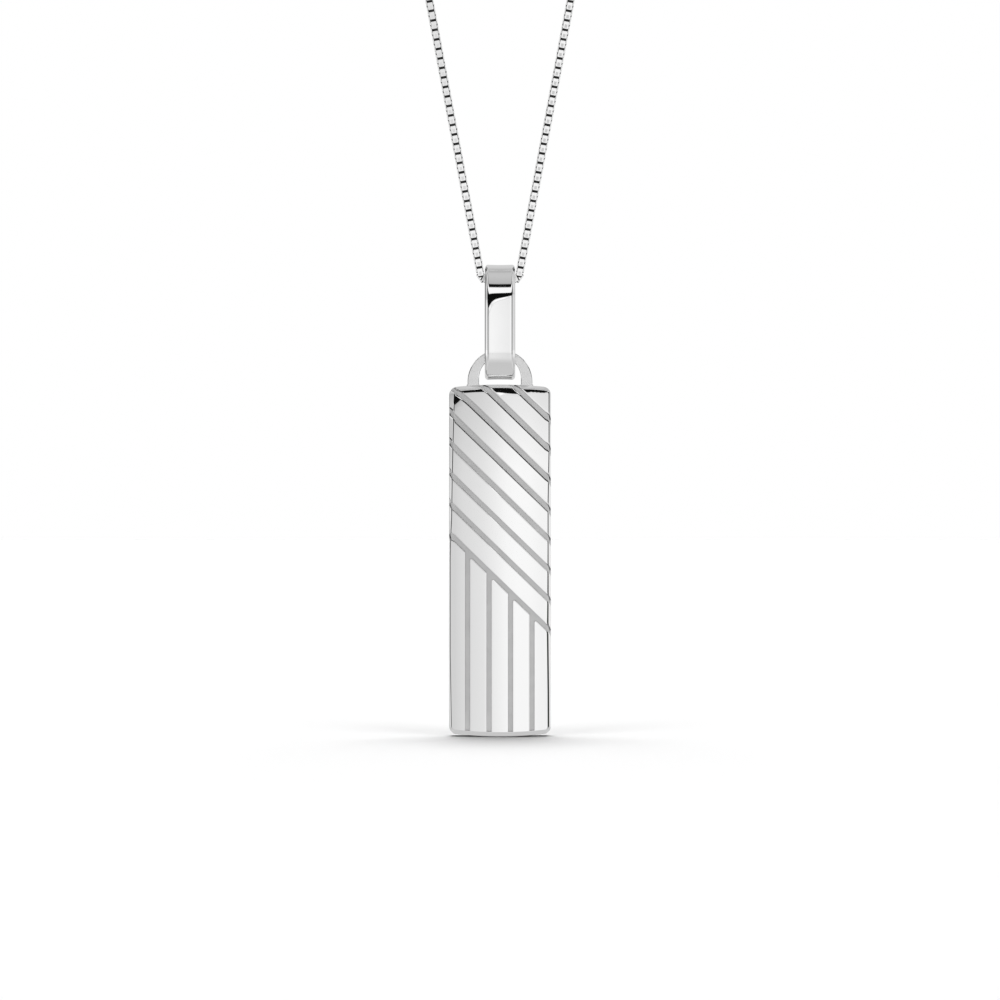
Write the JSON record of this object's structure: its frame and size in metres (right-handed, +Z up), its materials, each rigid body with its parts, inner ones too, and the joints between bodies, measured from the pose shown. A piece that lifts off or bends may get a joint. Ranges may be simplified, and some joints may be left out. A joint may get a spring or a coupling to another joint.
{
  "type": "bar pendant necklace",
  "caption": "Slim upright silver bar pendant with slanted and upright line grooves, on a bail and a fine box chain.",
  "frame": {"origin": "underside of the clasp at the top of the chain's loop, where the necklace lies over what holds it up", "axes": "+Z up along the hanging pendant, +X across the bar to the viewer's right, -Y the grooved front"},
  "size_m": [0.0674, 0.0056, 0.2464],
  "materials": {
    "pendant_silver": "mirror polished silver",
    "groove_silver": "matt silver",
    "chain_silver": "polished silver",
    "clasp_silver": "polished silver"
  },
  "bodies": {
    "chain": {"chain_left": "chain_silver", "chain_right": "chain_silver", "clasp": "clasp_silver"},
    "bail": {"bail": "pendant_silver"},
    "bar": {"bar": "pendant_silver"}
  },
  "joints": [
    {"name": "bail_swing", "type": "hinge", "parent": "chain", "child": "bail", "pos_m": [0, 0, -0.19775], "axis": [1, 0, 0], "range_deg": [-90, 90]},
    {"name": "bar_swing", "type": "hinge", "parent": "bail", "child": "bar", "pos_m": [0, 0, -0.20524], "axis": [1, 0, 0], "range_deg": [-90, 90]}
  ]
}
